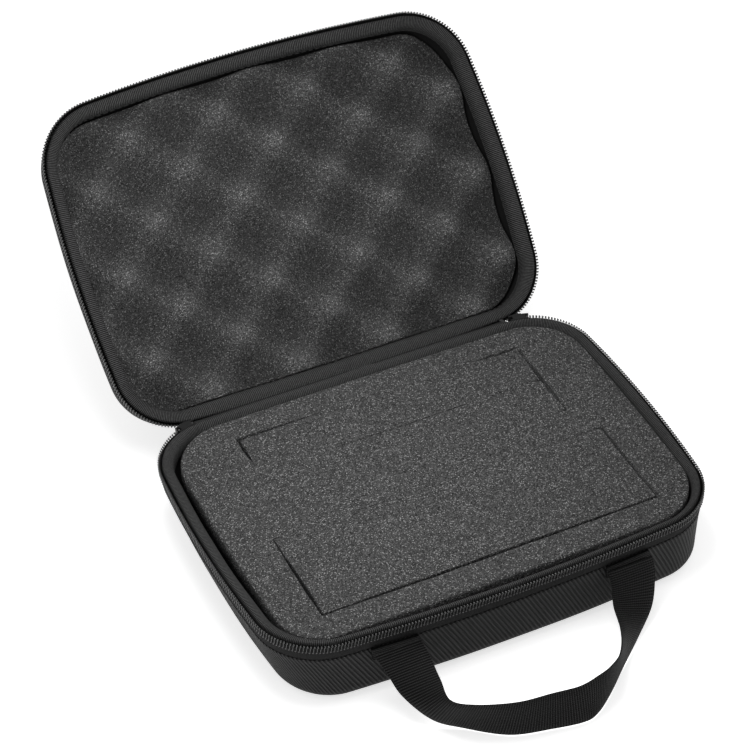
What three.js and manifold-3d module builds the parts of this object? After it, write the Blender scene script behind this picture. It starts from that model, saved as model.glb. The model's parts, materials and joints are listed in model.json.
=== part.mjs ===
// Semi-hard zip case, 264 x 191 mm, open: a moulded base and lid joined by a cloth hinge along
// the back, a coil zip round the other three sides, a webbing handle on the front, a cut foam
// block in the base and an egg-crate pad in the lid.
// Millimetres, +Z up. The origin is the middle of the base's underside; the hinge is at +Y.
// "offset" is the distance outwards from the zip's outer line, "depth" the distance away from
// the plane where base and lid meet.
import * as THREE from "three";
import { mergeVertices } from "three/addons/utils/BufferGeometryUtils.js";
import Module from "manifold-3d";

const wasm = await Module();
wasm.setup();

// Outer line of the zip, made of four shallow arcs and four round corners
const HALF_WIDTH = 132;
const FRONT_REACH = 97.8;
const BACK_REACH = 93;
const SIDE_RADIUS = 711;
const FRONT_RADIUS = 1150;
const BACK_RADIUS = 9000;
const FRONT_CORNER = 38;
const REAR_CORNER = 36;

// Base and lid
const BASE_DEPTH = 45;
const LID_DEPTH = 30;
const EDGE_ROUNDING = 10;
const WALL = 4.4;
const DRAFT_DEG = 9.5;
const LINING_THICKNESS = 0.5;
const GAP = 0.3;
const HALF_SEAM = 0.15;
const SEAM_DEPTH = 11.5;
const SEAM_OFFSET = -1.9;
const TAPE_SEAT = [-3.05, -2.05];
const LAND_DEPTH = 6.4;
const LAND_OFFSET = -3.6;
const INNER_OFFSET = -6.3;
const BASE_LEAN = [3, -4.5];
const BASE_NARROWING = 1.5;
const BASE_BINDING_INNER = -7.6;
const LID_BINDING_INNER = -9.4;

// Hinge line and how far the lid stands open
const HINGE_Y = 93.5;
const HINGE_DROP = 5.4;
const LID_OPEN_DEG = 135.7;
const HINGE_HALF_LENGTH = 90;
const HINGE_CLOTH_THICKNESS = 1.2;
const HINGE_CLOTH_BASE = 12.2;
const HINGE_CLOTH_LID = 16.2;
const HINGE_CLOTH_SPLIT = 1.6;
const ZIP_END_X = 97;
const ZIP_TAB_WIDTH = 4;
const ZIP_TAB_LOW = 33.5;
const ZIP_TAB_HIGH = 38.6;

// Foam
const FOAM_TOP = 44.5;
const PAD_TOP = 9.6;
const KERF = 0.4;
const BLOCK_RIGHT = 88.2;
const BLOCK_LEFT = -81;
const BACK_BLOCK = { left: BLOCK_LEFT, right: BLOCK_RIGHT, front: 38.8, back: 68.2 };
const MIDDLE_BLOCK = { left: BLOCK_LEFT, right: BLOCK_RIGHT, front: 10.5, back: 38.8 };
const FRONT_BLOCK = { left: -95.5, right: 98.2, front: -70.5, back: -10 };
const CRATE_PITCH_X = 54;
const CRATE_ROW_STEP = 24.8;
const CRATE_PEAK_DEPTH = 6;
const CRATE_VALLEY_DEPTH = 18;
const CRATE_PEAK_RADIUS = 25.4;
const CRATE_OFFSET = -10;
const CRATE_ROW_SHIFTS = [5.4, -23.2];
const CRATE_FIRST_ROW_Y = 5;

// Webbing handle
const WEBBING_THICKNESS = 1.8;
const HANDLE_INNER_X = 54;
const HANDLE_OUTER_X = 80;
const HANDLE_END_FOOT = 25.5;
const HANDLE_END_TOP = 33.2;

// Zip sliders, parked on the rear corners
const PARK_DEG = 13;
const SLIDER_HALF_DEG = 9;

const AXIS = null;

const MATERIALS = {
  nylon: { color: 0x1b1b1d, roughness: 0.75, metalness: 0 },
  lining: { color: 0x202022, roughness: 0.95, metalness: 0 },
  binding: { color: 0x333436, roughness: 0.85, metalness: 0 },
  tape: { color: 0x161617, roughness: 0.85, metalness: 0 },
  coil: { color: 0x111112, roughness: 0.4, metalness: 0 },
  foam: { color: 0x3a3a3c, roughness: 0.95, metalness: 0 },
  crate: { color: 0x303032, roughness: 0.95, metalness: 0 },
  webbing: { color: 0x141415, roughness: 0.8, metalness: 0 },
  metal: { color: 0x1c1c1e, roughness: 0.35, metalness: 0.8 },
};

// ---------------------------------------------------------------- closed meshes and booleans

// Merged vertices, no flat triangles, faces outwards.
function closed(geometry) {
  const bare = new THREE.BufferGeometry();
  bare.setAttribute("position", geometry.getAttribute("position"));
  bare.setIndex(geometry.getIndex());
  const merged = mergeVertices(bare, 1e-3);
  const old = merged.index.array;
  const kept = [];
  for (let i = 0; i < old.length; i += 3) {
    const [a, b, c] = [old[i], old[i + 1], old[i + 2]];
    if (a !== b && b !== c && c !== a) kept.push(a, b, c);
  }
  if (signedVolume(merged.attributes.position, kept) < 0) kept.reverse();
  merged.setIndex(kept);
  return merged;
}

function signedVolume(position, index) {
  const [a, b, c] = [new THREE.Vector3(), new THREE.Vector3(), new THREE.Vector3()];
  let sum = 0;
  for (let i = 0; i < index.length; i += 3) {
    a.fromBufferAttribute(position, index[i]);
    b.fromBufferAttribute(position, index[i + 1]);
    c.fromBufferAttribute(position, index[i + 2]);
    sum += a.dot(b.cross(c));
  }
  return sum;
}

function solid(geometry) {
  const mesh = closed(geometry);
  const triVerts = new Uint32Array(mesh.index.array);
  const vertProperties = new Float32Array(mesh.attributes.position.array);
  return new wasm.Manifold(new wasm.Mesh({ numProp: 3, vertProperties, triVerts }));
}

function geometryOf(manifold) {
  const mesh = manifold.getMesh();
  const geometry = new THREE.BufferGeometry();
  geometry.setAttribute("position", new THREE.BufferAttribute(mesh.vertProperties, 3));
  geometry.setIndex(new THREE.BufferAttribute(mesh.triVerts, 1));
  return geometry;
}

function piece(name, material, geometry) {
  const mesh = new THREE.Mesh(closed(geometry), new THREE.MeshStandardMaterial(MATERIALS[material]));
  mesh.geometry.computeVertexNormals();
  mesh.name = name;
  return mesh;
}

// A box between two corners.
function box(low, high) {
  const size = high.map((value, i) => value - low[i]);
  const geometry = new THREE.BoxGeometry(...size);
  return geometry.translate(...high.map((value, i) => (value + low[i]) / 2));
}

// ---------------------------------------------------------------- outlines

// Where two circles cross, on the side of the point near.
function crossing(a, radiusA, b, radiusB, near) {
  const apart = b.clone().sub(a);
  const distance = apart.length();
  const along = (radiusA ** 2 - radiusB ** 2 + distance ** 2) / (2 * distance);
  const aside = Math.sqrt(radiusA ** 2 - along ** 2);
  const foot = a.clone().addScaledVector(apart, along / distance);
  const across = new THREE.Vector2(-apart.y, apart.x).multiplyScalar(aside / distance);
  const ends = [foot.clone().add(across), foot.clone().sub(across)];
  return ends.sort((p, q) => p.distanceTo(near) - q.distanceTo(near))[0];
}

// The arcs of a bulged rectangle with round corners, counter-clockwise from the right side.
// Every arc keeps its centre when the outline is offset, so all rings stay parallel.
function outlineArcs({ halfWidth, front, back, side, frontArc, backArc, corners, middleX = 0 }) {
  const centre = (x, y) => new THREE.Vector2(x + middleX, y);
  const sides = [
    { centre: centre(halfWidth - side, 0), radius: side, steps: 5 },
    { centre: centre(0, back - backArc), radius: backArc, steps: 6 },
    { centre: centre(side - halfWidth, 0), radius: side, steps: 5 },
    { centre: centre(0, frontArc - front), radius: frontArc, steps: 8 },
  ];
  const near = [centre(halfWidth, back), centre(-halfWidth, back)];
  near.push(centre(-halfWidth, -front), centre(halfWidth, -front));
  const round = sides.map((one, i) => {
    const next = sides[(i + 1) % 4];
    const radius = corners[i];
    const middle = crossing(one.centre, one.radius - radius, next.centre, next.radius - radius, near[i]);
    return { centre: middle, radius, steps: 7 };
  });
  const angle = (from, to) => to.clone().sub(from).angle();
  const arcs = [];
  sides.forEach((one, i) => {
    const before = round[(i + 3) % 4];
    const after = round[i];
    const next = sides[(i + 1) % 4];
    one.from = angle(one.centre, before.centre);
    one.to = angle(one.centre, after.centre);
    after.from = one.to;
    after.to = angle(next.centre, after.centre);
    arcs.push(one, after);
  });
  for (const arc of arcs) if (arc.to < arc.from) arc.to += 2 * Math.PI;
  return arcs;
}

function outline(arcs, offset) {
  return arcs.flatMap(({ centre, radius, steps, from, to }) =>
    Array.from({ length: steps }, (_, k) => {
      const angle = from + ((to - from) * k) / steps;
      const reach = radius + offset;
      return new THREE.Vector2(centre.x + reach * Math.cos(angle), centre.y + reach * Math.sin(angle));
    }),
  );
}

const RIM = outlineArcs({
  halfWidth: HALF_WIDTH,
  front: FRONT_REACH,
  back: BACK_REACH,
  side: SIDE_RADIUS,
  frontArc: FRONT_RADIUS,
  backArc: BACK_RADIUS,
  corners: [REAR_CORNER, REAR_CORNER, FRONT_CORNER, FRONT_CORNER],
});

// The base foam is cut straighter than the shell, so it stands off the front and the left wall.
const FOAM = outlineArcs({
  halfWidth: 121.2,
  front: 88,
  back: 84.8,
  side: 1500,
  frontArc: 2500,
  backArc: BACK_RADIUS,
  corners: [31, 33, 30, 33],
  middleX: 1.6,
});

// A profile of [offset, height] points turned once round an outline. Points on AXIS close it.
function around(arcs, profile) {
  const points = profile.map(([offset, z]) => new THREE.Vector2(offset === AXIS ? 0 : HALF_WIDTH + offset, z));
  const rings = profile.map(([offset]) => (offset === AXIS ? null : outline(arcs, offset)));
  const steps = outline(arcs, 0).length;
  const geometry = new THREE.LatheGeometry(points, steps);
  const position = geometry.getAttribute("position");
  for (let i = 0; i < position.count; i++) {
    const row = i % profile.length;
    const column = Math.floor(i / profile.length) % steps;
    const at = rings[row] ? rings[row][column] : new THREE.Vector2(0, 0);
    position.setXYZ(i, at.x, at.y, profile[row][1]);
  }
  return geometry;
}

const ring = (arcs, profile) => around(arcs, [...profile, profile[0]]);

// Points of a quarter round, from angle start to end in degrees.
function quarter(offset, z, radius, start, end, steps) {
  return Array.from({ length: steps + 1 }, (_, k) => {
    const angle = THREE.MathUtils.degToRad(start + ((end - start) * k) / steps);
    return [offset + radius * Math.cos(angle), z + radius * Math.sin(angle)];
  });
}

// ---------------------------------------------------------------- one half of the case

// Profiles are written for the base, with the meeting plane at height 0 and the floor at -depth.
const DRAFT = THREE.MathUtils.degToRad(DRAFT_DEG);

// Offset of the wall's outer face below the seam.
const wallOffset = (depth) => SEAM_OFFSET - (depth - SEAM_DEPTH) * Math.tan(DRAFT);

// Middle of the rounding between the wall and the floor, as [offset, height].
function edgeMiddle(depth) {
  const start = depth - EDGE_ROUNDING * (1 - Math.sin(DRAFT));
  return [wallOffset(start) - EDGE_ROUNDING * Math.cos(DRAFT), EDGE_ROUNDING - depth];
}

// The moulding's inner face, moved inwards by more, from the depth top down to the middle.
function innerFace(depth, more, top) {
  const across = (WALL + more) / Math.cos(DRAFT);
  const upright = INNER_OFFSET - more;
  const bend = SEAM_DEPTH + (SEAM_OFFSET - across - upright) / Math.tan(DRAFT);
  return [
    [upright, -top],
    [upright, -bend],
    ...quarter(...edgeMiddle(depth), EDGE_ROUNDING - WALL - more, -DRAFT_DEG, -90, 2),
    [AXIS, WALL + more - depth],
  ];
}

// The base's walls lean: its floor stands to the right of its rim and further forward, and it is
// narrower by BASE_NARROWING on each side. The geometry's meeting plane is at height rim.
function leaning(geometry, rim) {
  const position = geometry.getAttribute("position");
  for (let i = 0; i < position.count; i++) {
    const below = rim - SEAM_DEPTH - position.getZ(i);
    const share = Math.max(0, below / (BASE_DEPTH - SEAM_DEPTH));
    const narrower = (BASE_NARROWING * position.getX(i)) / HALF_WIDTH;
    position.setX(i, position.getX(i) + (BASE_LEAN[0] - narrower) * share);
    position.setY(i, position.getY(i) + BASE_LEAN[1] * share);
  }
  return geometry;
}

function shellProfile(depth) {
  return [
    [AXIS, -depth],
    ...quarter(...edgeMiddle(depth), EDGE_ROUNDING, -90, -DRAFT_DEG, 4),
    [SEAM_OFFSET, -SEAM_DEPTH - 0.1],
    [TAPE_SEAT[0], -SEAM_DEPTH],
    [TAPE_SEAT[1], -LAND_DEPTH],
    [LAND_OFFSET, -LAND_DEPTH],
    [LAND_OFFSET, -1.7],
    [LAND_OFFSET - 1, -1.7],
    ...innerFace(depth, 0, 4.2),
  ];
}

function liningProfile(depth) {
  const top = 10.4;
  const outer = innerFace(depth, GAP, top).reverse();
  return [...outer, ...innerFace(depth, GAP + LINING_THICKNESS, top)];
}

// Padded cloth binding over the top of the wall and down its inside, as far in as inner.
function bindingProfile(inner) {
  return [
    [LAND_OFFSET + 0.3, -1.4],
    [LAND_OFFSET + 0.3, -0.6],
    [LAND_OFFSET - 0.2, -HALF_SEAM],
    [LAND_OFFSET - 1.2, -HALF_SEAM],
    [inner + 1.7, -1.4],
    [inner + 0.4, -3.6],
    [inner, -6],
    [inner, -10],
    [INNER_OFFSET - 0.3, -10],
    [INNER_OFFSET - 0.3, -4.05],
    [LAND_OFFSET - 1.2, -1.4],
  ];
}

const TAPE_PROFILE = [
  [-2.75, -11.2],
  [-2.05, -11.2],
  [-1.05, -6.2],
  [-1.75, -6.2],
];

const COIL_PROFILE = [
  [-1.75, -5.9],
  [0, -5.9],
  [0, -0.9],
  [-1.75, -0.9],
];

// The zip leaves the back free, where the cloth hinge is.
function openAtBack(profile) {
  const back = solid(box([-ZIP_END_X, 0, -100], [ZIP_END_X, 200, 100]));
  return geometryOf(solid(ring(RIM, profile)).subtract(back));
}

// The pieces that base and lid have in common, with the meeting plane at height 0. The moulded
// ones are given the shape of their walls by shaped.
function halfCase(name, depth, bindingInner, shaped) {
  return [
    piece(`${name}_shell`, "nylon", shaped(around(RIM, shellProfile(depth)))),
    piece(`${name}_lining`, "lining", shaped(around(RIM, liningProfile(depth)))),
    piece(`${name}_rim_binding`, "binding", ring(RIM, bindingProfile(bindingInner))),
    piece(`${name}_zipper_tape`, "tape", openAtBack(TAPE_PROFILE)),
    piece(`${name}_zipper_coil`, "coil", openAtBack(COIL_PROFILE)),
  ];
}

// ---------------------------------------------------------------- foam

function foamSurround() {
  const uncut = around(FOAM, [
    [AXIS, PAD_TOP + 0.4],
    [-4.2, PAD_TOP + 0.4],
    [-0.8, 32],
    [0, 38],
    [0, FOAM_TOP - 1],
    [-1, FOAM_TOP],
    [AXIS, FOAM_TOP],
  ]);
  const body = solid(leaning(uncut, BASE_DEPTH));
  // The back and the middle block share one opening
  const openings = [{ ...BACK_BLOCK, front: MIDDLE_BLOCK.front }, FRONT_BLOCK];
  return geometryOf(
    openings.reduce((foam, cut) => {
      const low = [cut.left - KERF, cut.front - KERF, 0];
      const high = [cut.right + KERF, cut.back + KERF, 100];
      return foam.subtract(solid(box(low, high)));
    }, body),
  );
}

function foamBlock(name, { left, right, front, back }) {
  const half = KERF / 2;
  const low = [left + half, front + half, PAD_TOP + 0.4];
  return piece(name, "foam", box(low, [right - half, back - half, FOAM_TOP]));
}

function foamPad() {
  const under = WALL + LINING_THICKNESS + 2 * GAP;
  const pad = around(FOAM, [
    [AXIS, under],
    [-8, under],
    [-5, PAD_TOP],
    [AXIS, PAD_TOP],
  ]);
  return leaning(pad, BASE_DEPTH);
}

// Egg-crate pad: rounded peaks on a slab, every second row shifted by half a pitch.
function eggCrate() {
  const depth = LID_DEPTH - WALL - LINING_THICKNESS - 2 * GAP;
  const slab = around(RIM, [
    [AXIS, -depth],
    [CRATE_OFFSET - 3.2, -depth],
    [CRATE_OFFSET - 0.8, -depth + 3],
    [CRATE_OFFSET, -CRATE_VALLEY_DEPTH],
    [AXIS, -CRATE_VALLEY_DEPTH],
  ]);
  const within = [[AXIS, -depth], [CRATE_OFFSET, -depth], [CRATE_OFFSET, 0], [AXIS, 0]];
  const limits = solid(around(RIM, within));
  const rise = CRATE_VALLEY_DEPTH - CRATE_PEAK_DEPTH;
  const flank = [1, 0.64, 0.3, 0].map((share) => {
    const height = (rise * (1 + Math.cos(Math.PI * share))) / 2 - CRATE_VALLEY_DEPTH;
    return new THREE.Vector2(CRATE_PEAK_RADIUS * share, height);
  });
  const root = -CRATE_VALLEY_DEPTH - 2;
  const foot = [new THREE.Vector2(0, root), new THREE.Vector2(CRATE_PEAK_RADIUS, root)];
  const bump = new THREE.LatheGeometry([...foot, ...flank], 8);
  bump.rotateX(Math.PI / 2);
  let pad = solid(slab);
  for (let row = -3; row <= 3; row++) {
    for (let column = -2; column <= 2; column++) {
      const x = column * CRATE_PITCH_X + CRATE_ROW_SHIFTS[Math.abs(row % 2)];
      const y = row * CRATE_ROW_STEP + CRATE_FIRST_ROW_Y;
      pad = pad.add(solid(bump.clone().translate(x, y, 0)).intersect(limits));
    }
  }
  return geometryOf(pad);
}

// ---------------------------------------------------------------- handle

// The webbing's two edges, left leg to right leg: the inner edge becomes the upper one where the
// middle of the loop stands on the table, and the outer edge becomes the lower one.
const HANDLE_EDGES = [
  [[-54, -97.6, 32.6], [-80, -97.6, 32.6]],
  [[-53.5, -107.5, 29], [-77, -105.5, 26]],
  [[-55, -122, 26.6], [-73, -115, 16.5]],
  [[-56.5, -136, 25.8], [-62, -126, 5]],
  [[-46, -144.5, 25.6], [-49, -135, 1.2]],
  [[-27, -152, 25.8], [-30, -149.5, 1]],
  [[-9, -154.5, 26], [-9, -155.5, 1]],
  [[6, -156, 25.6], [8, -158.6, 1]],
  [[18, -153.6, 25.4], [17, -156.2, 1]],
  [[27, -150.5, 25.4], [29, -147.5, 1]],
  [[36, -144, 25.4], [42, -135.8, 1]],
  [[45.5, -127, 21], [60, -121, 3]],
  [[51, -110, 19.5], [74.5, -109.5, 9.5]],
  [[54, -101.8, 25.5], [80, -101.4, 24]],
  [[54, -97.6, 32.6], [80, -97.6, 32.6]],
];

function handleLoop() {
  const steps = 56;
  const [inner, outer] = [0, 1].map(
    (side) => new THREE.CatmullRomCurve3(HANDLE_EDGES.map((ends) => new THREE.Vector3(...ends[side]))),
  );
  const geometry = new THREE.BoxGeometry(1, 1, 1, steps, 1, 1);
  const position = geometry.getAttribute("position");
  for (let i = 0; i < position.count; i++) {
    const along = position.getX(i) + 0.5;
    const from = outer.getPoint(along);
    const across = inner.getPoint(along).sub(from);
    const tangent = inner.getTangent(along).add(outer.getTangent(along));
    const normal = tangent.cross(across).normalize();
    from.addScaledVector(across, position.getY(i) + 0.5);
    from.addScaledVector(normal, position.getZ(i) * WEBBING_THICKNESS);
    position.setXYZ(i, from.x, from.y, from.z);
  }
  return geometry;
}

// The end of the webbing sewn flat to the front wall.
function handleEnd(side) {
  const low = wallOffset(BASE_DEPTH - HANDLE_END_FOOT) + GAP;
  const high = wallOffset(BASE_DEPTH - HANDLE_END_TOP) + GAP;
  const thick = WEBBING_THICKNESS - 0.4;
  const section = [[low, HANDLE_END_FOOT], [low + thick, HANDLE_END_FOOT]];
  section.push([high + thick, HANDLE_END_TOP], [high, HANDLE_END_TOP]);
  const band = solid(leaning(ring(RIM, section), BASE_DEPTH));
  const reach = [side * HANDLE_INNER_X, side * HANDLE_OUTER_X].sort((a, b) => a - b);
  return geometryOf(band.intersect(solid(box([reach[0], -200, 0], [reach[1], 0, 100]))));
}

// ---------------------------------------------------------------- zip sliders

// A slice of a ring round the corner's centre: radii, heights and half the angle it covers.
function slice(inner, outer, low, high, halfDeg) {
  const half = THREE.MathUtils.degToRad(halfDeg);
  const shape = new THREE.Shape();
  shape.absarc(0, 0, outer, Math.PI / 2 - half, Math.PI / 2 + half, false);
  shape.absarc(0, 0, inner, Math.PI / 2 + half, Math.PI / 2 - half, true);
  const geometry = new THREE.ExtrudeGeometry(shape, { depth: high - low, bevelEnabled: false, curveSegments: 4 });
  return geometry.translate(0, 0, low);
}

const SLIDER_MIDDLE = BASE_DEPTH - 3.2;

// Slider body: a channel over the base's coil, with a bail on its outer face.
function sliderBody() {
  const coil = REAR_CORNER;
  const [low, high] = [BASE_DEPTH - 6.15, BASE_DEPTH - 0.2];
  const bail = [SLIDER_MIDDLE - 0.7, SLIDER_MIDDLE + 0.7];
  const parts = [
    slice(coil + 0.3, coil + 1.3, low, high, SLIDER_HALF_DEG),
    slice(coil - 2.95, coil - 2.1, low, high, SLIDER_HALF_DEG),
    slice(coil - 2.5, coil + 0.8, high - 0.4, high, SLIDER_HALF_DEG - 3),
    slice(coil + 2.45, coil + 3.3, ...bail, 6.6),
  ].map(solid);
  for (const side of [-1, 1]) {
    const foot = slice(coil + 1.1, coil + 3, ...bail, 0.9);
    parts.push(solid(foot.rotateZ(side * THREE.MathUtils.degToRad(5.7))));
  }
  return geometryOf(parts.reduce((a, b) => a.add(b)));
}

// Pull tab: a neck that hangs through the bail from a wider head, and a longer grip below.
function pullTab() {
  const near = REAR_CORNER + 1.55;
  const flat = (half, low, high, thickness) =>
    solid(box([-half, near, SLIDER_MIDDLE + low], [half, near + thickness, SLIDER_MIDDLE + high]));
  const head = flat(1.9, 1.2, 2.6, 0.65);
  const neck = flat(0.8, -4.2, 1.4, 0.65);
  const grip = flat(2.5, -22, -3.8, 1.3);
  return geometryOf(head.add(neck).add(grip));
}

// ---------------------------------------------------------------- assembly

const carryCase = new THREE.Group();
const [rearRight, rearLeft] = [RIM[1].centre, RIM[3].centre];

const base = new THREE.Group();
base.position.z = BASE_DEPTH;
base.add(...halfCase("base", BASE_DEPTH, BASE_BINDING_INNER, (geometry) => leaning(geometry, 0)));
carryCase.add(base);

carryCase.add(
  piece("base_foam_surround", "foam", foamSurround()),
  piece("base_foam_pad", "foam", foamPad()),
  foamBlock("foam_block_back", BACK_BLOCK),
  foamBlock("foam_block_middle", MIDDLE_BLOCK),
  foamBlock("foam_block_front", FRONT_BLOCK),
  piece("handle_webbing", "webbing", handleLoop()),
  piece("handle_end_left", "webbing", handleEnd(-1)),
  piece("handle_end_right", "webbing", handleEnd(1)),
);

// The cloth hinge: a lower strip on the base and an upper strip on the lid
const HINGE_Z = BASE_DEPTH - HINGE_DROP;
const HINGE_CLOTH_BACK = HINGE_Y - 0.2;
const HINGE_CLOTH_FRONT = HINGE_CLOTH_BACK - HINGE_CLOTH_THICKNESS;
const HINGE_CLOTH_GAP = HINGE_CLOTH_SPLIT / 2;
const strip = (name, low, high) =>
  piece(
    name,
    "binding",
    box([-HINGE_HALF_LENGTH, HINGE_CLOTH_FRONT, low], [HINGE_HALF_LENGTH, HINGE_CLOTH_BACK, high]),
  );
const clothTop = HINGE_Z - HINGE_CLOTH_GAP;
carryCase.add(strip("hinge_cloth_base", clothTop - HINGE_CLOTH_BASE, clothTop));

// Cloth tabs that close the two ends of the zip
for (const [name, side] of [["zip_end_tab_left", -1], ["zip_end_tab_right", 1]]) {
  const middle = side * (ZIP_END_X + ZIP_TAB_WIDTH / 2 - GAP);
  const [left, right] = [middle - ZIP_TAB_WIDTH / 2, middle + ZIP_TAB_WIDTH / 2];
  const low = [left, BACK_REACH - 0.9, ZIP_TAB_LOW];
  carryCase.add(piece(name, "tape", box(low, [right, BACK_REACH - 0.2, ZIP_TAB_HIGH])));
}

// The lid, drawn shut and turned about the hinge line
const lidHinge = new THREE.Group();
lidHinge.position.set(0, HINGE_Y, HINGE_Z);
lidHinge.rotation.x = -THREE.MathUtils.degToRad(LID_OPEN_DEG);
const lid = new THREE.Group();
lid.position.set(0, -HINGE_Y, -HINGE_Z);
const lidHalf = new THREE.Group();
lidHalf.position.z = BASE_DEPTH;
lidHalf.scale.z = -1;
lidHalf.add(...halfCase("lid", LID_DEPTH, LID_BINDING_INNER, (geometry) => geometry));
lidHalf.add(piece("lid_egg_crate_foam", "crate", eggCrate()));
const clothFoot = HINGE_Z + HINGE_CLOTH_GAP;
lid.add(lidHalf, strip("hinge_cloth_lid", clothFoot, clothFoot + HINGE_CLOTH_LID));
lidHinge.add(lid);
carryCase.add(lidHinge);

// One slider and pull at each end of the zip, turned about the centre of the rear corner
for (const [side, corner, turn] of [["left", rearLeft, 1], ["right", rearRight, -1]]) {
  const slider = new THREE.Group();
  slider.position.set(corner.x, corner.y, 0);
  slider.rotation.z = turn * THREE.MathUtils.degToRad(PARK_DEG);
  slider.add(piece(`zip_slider_${side}`, "metal", sliderBody()));
  slider.add(piece(`zip_pull_${side}`, "metal", pullTab()));
  carryCase.add(slider);
}

export default carryCase;
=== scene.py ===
import json
import math

import bpy
import numpy as np
from mathutils import Matrix, Vector
from mathutils.geometry import delaunay_2d_cdt


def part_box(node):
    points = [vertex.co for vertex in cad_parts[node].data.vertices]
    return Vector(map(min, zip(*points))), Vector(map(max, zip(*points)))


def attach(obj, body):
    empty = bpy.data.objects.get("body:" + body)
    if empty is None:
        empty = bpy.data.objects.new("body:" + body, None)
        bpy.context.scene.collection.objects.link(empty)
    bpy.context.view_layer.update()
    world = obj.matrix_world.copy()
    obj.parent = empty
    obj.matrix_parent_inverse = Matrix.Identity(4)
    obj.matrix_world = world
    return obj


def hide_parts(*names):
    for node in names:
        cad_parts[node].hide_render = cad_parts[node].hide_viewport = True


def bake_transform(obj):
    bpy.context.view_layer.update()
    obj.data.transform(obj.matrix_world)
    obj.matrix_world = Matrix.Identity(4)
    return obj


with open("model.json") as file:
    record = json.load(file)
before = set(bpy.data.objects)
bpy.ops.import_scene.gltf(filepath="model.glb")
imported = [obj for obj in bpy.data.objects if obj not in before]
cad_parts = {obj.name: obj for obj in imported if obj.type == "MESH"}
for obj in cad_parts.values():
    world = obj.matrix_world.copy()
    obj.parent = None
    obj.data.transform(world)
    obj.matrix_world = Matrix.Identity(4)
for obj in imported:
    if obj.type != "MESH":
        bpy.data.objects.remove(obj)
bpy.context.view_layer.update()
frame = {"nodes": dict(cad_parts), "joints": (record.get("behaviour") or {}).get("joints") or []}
JOINT = {joint["name"]: joint for joint in frame["joints"]}

# The case's own sizes are in millimetres, as "offset" outwards from the zip's outer line and as
# "height" over the plane where base and lid meet. Meshes are made in metres.
MM = 0.001
HALF_WIDTH = 132
FRONT_REACH = 97.8
BACK_REACH = 93
SIDE_ARC, FRONT_ARC, BACK_ARC = 711, 1150, 9000
REAR_CORNER, FRONT_CORNER = 36, 38
BASE_DEPTH = 45
LID_DEPTH = 30
EDGE_ROUNDING = 10
WALL = 4.4
DRAFT = math.radians(9.5)
SEAM_DEPTH = 11.5
SEAM_OFFSET = -1.9
TAPE_SEAT = (-3.05, -2.05)
LAND_DEPTH = 6.4
LAND_OFFSET = -3.6
INNER_OFFSET = -6.3
BASE_LEAN = np.array([3, -4.5, 0])
BASE_NARROWING = 1.5
BINDING_INNER = {"base": -7.6, "lid": -9.4}
BINDING_DEPTH = 10
LAP_FROM_CORNER = {"base": 88, "lid": 91}
STITCH_PITCH = 4.2
STITCH_LENGTH = 2.9
STITCH_RADIUS = 0.24
TOOTH_PITCH = 1.8
HINGE_Y = JOINT["lid_hinge"]["pos_m"][1] / MM
HINGE_Z = JOINT["lid_hinge"]["pos_m"][2] / MM
LID_OPEN = math.radians(-JOINT["lid_hinge"]["range_deg"][0])
HINGE_HALF_LENGTH = 95.5
ZIP_END_X = 95.1

FOAM_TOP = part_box("foam_block_front")[1].z / MM
POCKET_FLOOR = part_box("foam_block_front")[0].z / MM
PAD_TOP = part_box("base_foam_pad")[1].z / MM
PAD_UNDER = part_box("base_foam_pad")[0].z / MM
CRATE_PITCH_X = 54
CRATE_ROW_STEP = 24.8
CRATE_PEAK_DEPTH = 6
CRATE_VALLEY_DEPTH = 18
CRATE_UNDERSIDE = 24.2
CRATE_PEAK = (5.4, 5)
CRATE_OFFSET = -10

WEBBING_WIDTH = 26
WEBBING_THICKNESS = 1.7
RIB_PITCH = 1.35
RIB_HEIGHT = 0.09
LEG_MIDDLE_X = 67
LEG_END_DEPTHS = (11.3, 19.5)


# ------------------------------------------------------------------ outlines

def crossing(a, radius_a, b, radius_b, near):
    """Where two circles cross, on the side of the point near."""
    apart = b - a
    distance = np.hypot(*apart)
    along = (radius_a ** 2 - radius_b ** 2 + distance ** 2) / (2 * distance)
    aside = math.sqrt(radius_a ** 2 - along ** 2)
    foot = a + apart * along / distance
    across = np.array([-apart[1], apart[0]]) * aside / distance
    return min((foot + across, foot - across), key=lambda p: np.hypot(*(p - near)))


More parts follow.
